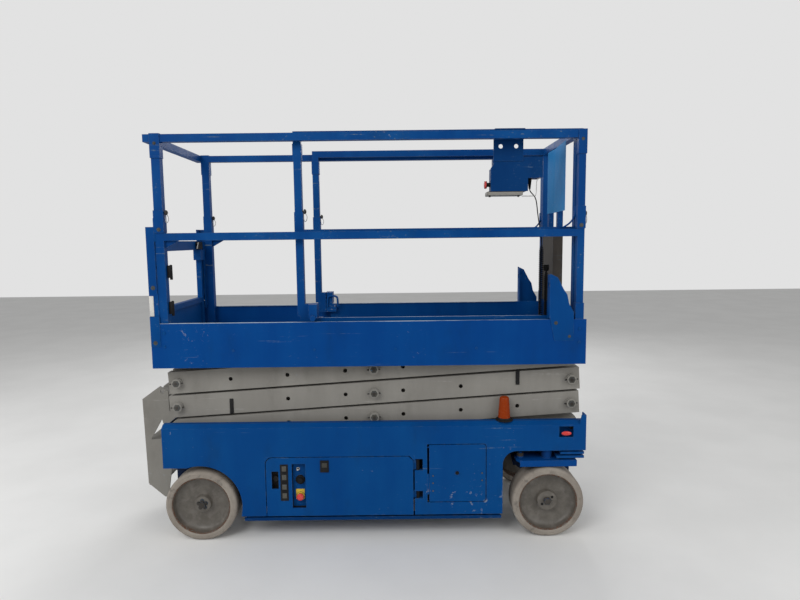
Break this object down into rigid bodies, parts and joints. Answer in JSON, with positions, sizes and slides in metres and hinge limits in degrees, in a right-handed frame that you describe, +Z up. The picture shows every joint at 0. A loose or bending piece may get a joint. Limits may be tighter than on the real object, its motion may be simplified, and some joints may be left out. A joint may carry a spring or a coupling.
{
  "type": "slab electric scissor lift",
  "caption": "Electric scissor work platform with a stacked scissor mechanism, guard rails, entry gate, roll-out extension deck, swing-out trays and steered wheels.",
  "frame": {"origin": "middle of the machine's outline on the floor it stands on", "axes": "+X towards the steered end, away from the ladder; +Y from the near side to the far side; +Z up"},
  "size_m": [2.44, 0.81, 2.1482],
  "materials": {
    "body_blue": "worn satin paint",
    "panel_blue": "faded satin paint",
    "arm_grey": "satin paint",
    "rim_grey": "satin paint with rust at the edge",
    "tyre": "solid non-marking rubber",
    "steel": "plain machined steel",
    "dark_metal": "matt paint",
    "black_plastic": "grained",
    "battery_case": "moulded",
    "red_plastic": "gloss",
    "amber": "clear amber lens",
    "cord_rubber": "matt",
    "deck_steel": "scuffed plate"
  },
  "bodies": {
    "chassis": {"chassis_frame": "body_blue", "chassis_side_near": "body_blue", "chassis_side_far": "body_blue", "rear_axles": "steel", "lower_pivots": "arm_grey", "entry_ladder": "arm_grey", "beacon": "amber", "front_brackets": "body_blue"},
    "wheel_front_near": {"tyre_front_near": "tyre", "rim_front_near": "rim_grey"},
    "wheel_front_far": {"tyre_front_far": "tyre", "rim_front_far": "rim_grey"},
    "wheel_rear_near": {"tyre_rear_near": "tyre", "rim_rear_near": "rim_grey"},
    "wheel_rear_far": {"tyre_rear_far": "tyre", "rim_rear_far": "rim_grey"},
    "knuckle_near": {"knuckle_near": "body_blue"},
    "knuckle_far": {"knuckle_far": "body_blue"},
    "tie_rod": {"tie_rod": "steel"},
    "tray_near": {"tray_panel_near": "body_blue", "ground_controls": "black_plastic", "power_module": "dark_metal"},
    "tray_far": {"tray_panel_far": "body_blue", "batteries": "battery_case"},
    "service_door": {"service_door": "body_blue"},
    "pothole_guard_near": {"pothole_guard_near": "body_blue"},
    "pothole_guard_far": {"pothole_guard_far": "body_blue"},
    "outer_arm_1": {"outer_arm_1": "arm_grey"},
    "inner_arm_1": {"inner_arm_1": "arm_grey"},
    "lower_pads": {"lower_pads": "black_plastic"},
    "outer_arm_2": {"outer_arm_2": "arm_grey"},
    "inner_arm_2": {"inner_arm_2": "arm_grey"},
    "outer_arm_3": {"outer_arm_3": "arm_grey"},
    "inner_arm_3": {"inner_arm_3": "arm_grey"},
    "upper_pads": {"upper_pads": "black_plastic"},
    "lift_barrel": {"lift_barrel": "dark_metal"},
    "lift_rod": {"lift_rod": "steel"},
    "platform": {"platform_deck": "deck_steel", "platform_runners": "body_blue", "toe_boards": "body_blue", "main_rail_near": "body_blue", "main_rail_far": "body_blue", "entry_frame": "body_blue", "anchor_bracket_near": "body_blue", "anchor_bracket_far": "body_blue"},
    "gate": {"gate": "body_blue"},
    "extension": {"extension_tray": "body_blue", "extension_rail_near": "body_blue", "extension_rail_far": "body_blue", "front_rail": "body_blue", "front_panel": "panel_blue", "storage_box": "dark_metal", "extension_latch": "body_blue", "control_box": "body_blue", "control_switches": "black_plastic", "control_hook": "body_blue", "strain_relief": "cord_rubber", "control_cord_lead": "cord_rubber", "control_cord_coil": "cord_rubber", "cord_socket": "dark_metal"}
  },
  "joints": [
    {"name": "lift", "type": "hinge", "parent": "chassis", "child": "outer_arm_1", "pos_m": [-0.948, 0, 0.583], "axis": [0, -1, 0], "range_deg": [0, 55.9]},
    {"name": "arm_cross_1", "type": "hinge", "parent": "outer_arm_1", "child": "inner_arm_1", "pos_m": [0.104, 0, 0.648], "axis": [0, 1, 0], "range_deg": [0, 111.8]},
    {"name": "arm_knee_2", "type": "hinge", "parent": "inner_arm_1", "child": "outer_arm_2", "pos_m": [-0.948, 0, 0.713], "axis": [0, -1, 0], "range_deg": [0, 111.8]},
    {"name": "arm_cross_2", "type": "hinge", "parent": "outer_arm_2", "child": "inner_arm_2", "pos_m": [0.104, 0, 0.778], "axis": [0, 1, 0], "range_deg": [0, 111.8]},
    {"name": "arm_knee_3", "type": "hinge", "parent": "inner_arm_2", "child": "outer_arm_3", "pos_m": [-0.948, 0, 0.843], "axis": [0, -1, 0], "range_deg": [0, 111.8]},
    {"name": "arm_cross_3", "type": "hinge", "parent": "outer_arm_3", "child": "inner_arm_3", "pos_m": [0.104, 0, 0.908], "axis": [0, 1, 0], "range_deg": [0, 111.8]},
    {"name": "platform_level", "type": "hinge", "parent": "inner_arm_3", "child": "platform", "pos_m": [-0.948, 0, 0.973], "axis": [0, -1, 0], "range_deg": [0, 55.9]},
    {"name": "lower_pad_pivot", "type": "hinge", "parent": "inner_arm_1", "child": "lower_pads", "pos_m": [1.156, 0, 0.583], "axis": [0, -1, 0], "range_deg": [0, 55.9]},
    {"name": "upper_pad_pivot", "type": "hinge", "parent": "outer_arm_3", "child": "upper_pads", "pos_m": [1.156, 0, 0.973], "axis": [0, 1, 0], "range_deg": [0, 55.9]},
    {"name": "cylinder_swing", "type": "hinge", "parent": "inner_arm_1", "child": "lift_barrel", "pos_m": [-0.80612, 0, 0.67418], "axis": [0, -1, 0], "range_deg": [0, 116.5]},
    {"name": "rod_slide", "type": "slide", "parent": "lift_barrel", "child": "lift_rod", "axis": [0.9936, 0, 0.1133], "range_m": [0, 0.396]},
    {"name": "steer", "type": "hinge", "parent": "chassis", "child": "knuckle_near", "pos_m": [1.025, -0.3415, 0.45], "axis": [0, 0, 1], "range_deg": [-70, 70]},
    {"name": "steer_far", "type": "hinge", "parent": "chassis", "child": "knuckle_far", "pos_m": [1.025, 0.3415, 0.45], "axis": [0, 0, 1], "range_deg": [-70, 70]},
    {"name": "tie_rod_swing", "type": "hinge", "parent": "knuckle_near", "child": "tie_rod", "pos_m": [0.885, -0.3415, 0.437], "axis": [0, 0, 1], "range_deg": [-70, 70]},
    {"name": "front_near_spin", "type": "hinge", "parent": "knuckle_near", "child": "wheel_front_near", "pos_m": [1.025, -0.3415, 0.1905], "axis": [0, 1, 0], "continuous": true},
    {"name": "front_far_spin", "type": "hinge", "parent": "knuckle_far", "child": "wheel_front_far", "pos_m": [1.025, 0.3415, 0.1905], "axis": [0, 1, 0], "continuous": true},
    {"name": "rear_near_spin", "type": "hinge", "parent": "chassis", "child": "wheel_rear_near", "pos_m": [-0.825, -0.3415, 0.1905], "axis": [0, 1, 0], "continuous": true},
    {"name": "rear_far_spin", "type": "hinge", "parent": "chassis", "child": "wheel_rear_far", "pos_m": [-0.825, 0.3415, 0.1905], "axis": [0, 1, 0], "continuous": true},
    {"name": "tray_near_swing", "type": "hinge", "parent": "chassis", "child": "tray_near", "pos_m": [0.332, -0.386, 0.3], "axis": [0, 0, 1], "range_deg": [0, 80]},
    {"name": "tray_far_swing", "type": "hinge", "parent": "chassis", "child": "tray_far", "pos_m": [0.332, 0.386, 0.3], "axis": [0, 0, -1], "range_deg": [0, 80]},
    {"name": "service_door_swing", "type": "hinge", "parent": "chassis", "child": "service_door", "pos_m": [0.3865, -0.398, 0.3], "axis": [0, 0, -1], "range_deg": [0, 90]},
    {"name": "pothole_guard_near_drop", "type": "hinge", "parent": "chassis", "child": "pothole_guard_near", "pos_m": [0.09, -0.372, 0.112], "axis": [-1, 0, 0], "range_deg": [0, 90]},
    {"name": "pothole_guard_far_drop", "type": "hinge", "parent": "chassis", "child": "pothole_guard_far", "pos_m": [0.09, 0.372, 0.112], "axis": [1, 0, 0], "range_deg": [0, 90]},
    {"name": "gate_swing", "type": "hinge", "parent": "platform", "child": "gate", "pos_m": [-1.018, -0.325, 1.3], "axis": [0, 0, -1], "range_deg": [0, 90]},
    {"name": "extension_slide", "type": "slide", "parent": "platform", "child": "extension", "axis": [1, 0, 0], "range_m": [0, 0.91]}
  ],
  "couplings": [
    {"joint": "arm_cross_1", "follows": "lift", "ratio": 2},
    {"joint": "arm_knee_2", "follows": "lift", "ratio": 2},
    {"joint": "arm_cross_2", "follows": "lift", "ratio": 2},
    {"joint": "arm_knee_3", "follows": "lift", "ratio": 2},
    {"joint": "arm_cross_3", "follows": "lift", "ratio": 2},
    {"joint": "platform_level", "follows": "lift", "ratio": 1},
    {"joint": "lower_pad_pivot", "follows": "lift", "ratio": 1},
    {"joint": "upper_pad_pivot", "follows": "lift", "ratio": 1},
    {"joint": "cylinder_swing", "follows": "lift", "ratio": 2.08},
    {"joint": "rod_slide", "follows": "lift", "m_per_rad": 0.405},
    {"joint": "steer_far", "follows": "steer", "ratio": 1},
    {"joint": "tie_rod_swing", "follows": "steer", "ratio": -1}
  ]
}
